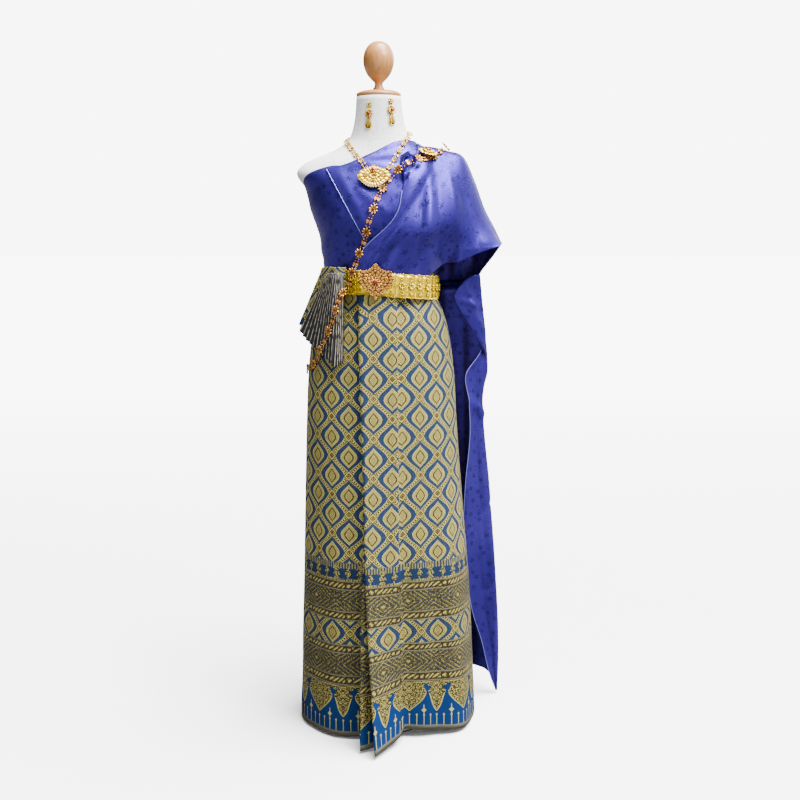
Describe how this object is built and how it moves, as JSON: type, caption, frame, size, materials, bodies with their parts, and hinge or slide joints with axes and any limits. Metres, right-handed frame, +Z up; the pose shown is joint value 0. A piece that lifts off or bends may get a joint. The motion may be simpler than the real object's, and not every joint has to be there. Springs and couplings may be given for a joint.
{
  "type": "chut thai dress on a limbless dress form",
  "caption": "Thai court-style dress: brocade tube skirt with front pleats, satin shoulder cloth with cape and tail, plate belt and jewellery, on a limbless dress form.",
  "frame": {"origin": "centre of the base disc's underside, on the floor under the pole", "axes": "+Z up; the front faces -Y; +X towards the wearer's left hand"},
  "size_m": [0.4596, 0.4115, 1.495],
  "materials": {
    "form_cover": "white lace-print cover",
    "wood": "varnished",
    "steel": "grey paint",
    "brocade": "gold and blue brocade",
    "brocade_reverse": "dark reverse with pale lines",
    "satin": "blue-violet jacquard satin",
    "belt_gold": "polished stamped plates",
    "gold": "polished filigree",
    "rose_gold": "rose-gold filigree",
    "red_stone": "faceted glass stone"
  },
  "bodies": {
    "root": {"form_torso": "form_cover", "form_neck_cap": "wood", "form_finial": "wood", "form_pole": "steel", "form_base": "steel", "skirt_body": "brocade", "skirt_turnover": "brocade", "skirt_fan": "brocade_reverse", "sabai_wrap": "satin", "sabai_front": "satin", "sabai_shoulder": "satin", "sabai_tail": "satin", "sabai_cascade": "satin", "belt_band": "belt_gold", "belt_buckle": "rose_gold", "buckle_stone": "red_stone", "sangwan": "rose_gold", "brooch": "gold", "brooch_stone": "red_stone", "necklace": "gold", "pendant": "gold", "pendant_stone": "red_stone", "earring_left": "gold", "earring_right": "gold"}
  },
  "joints": []
}
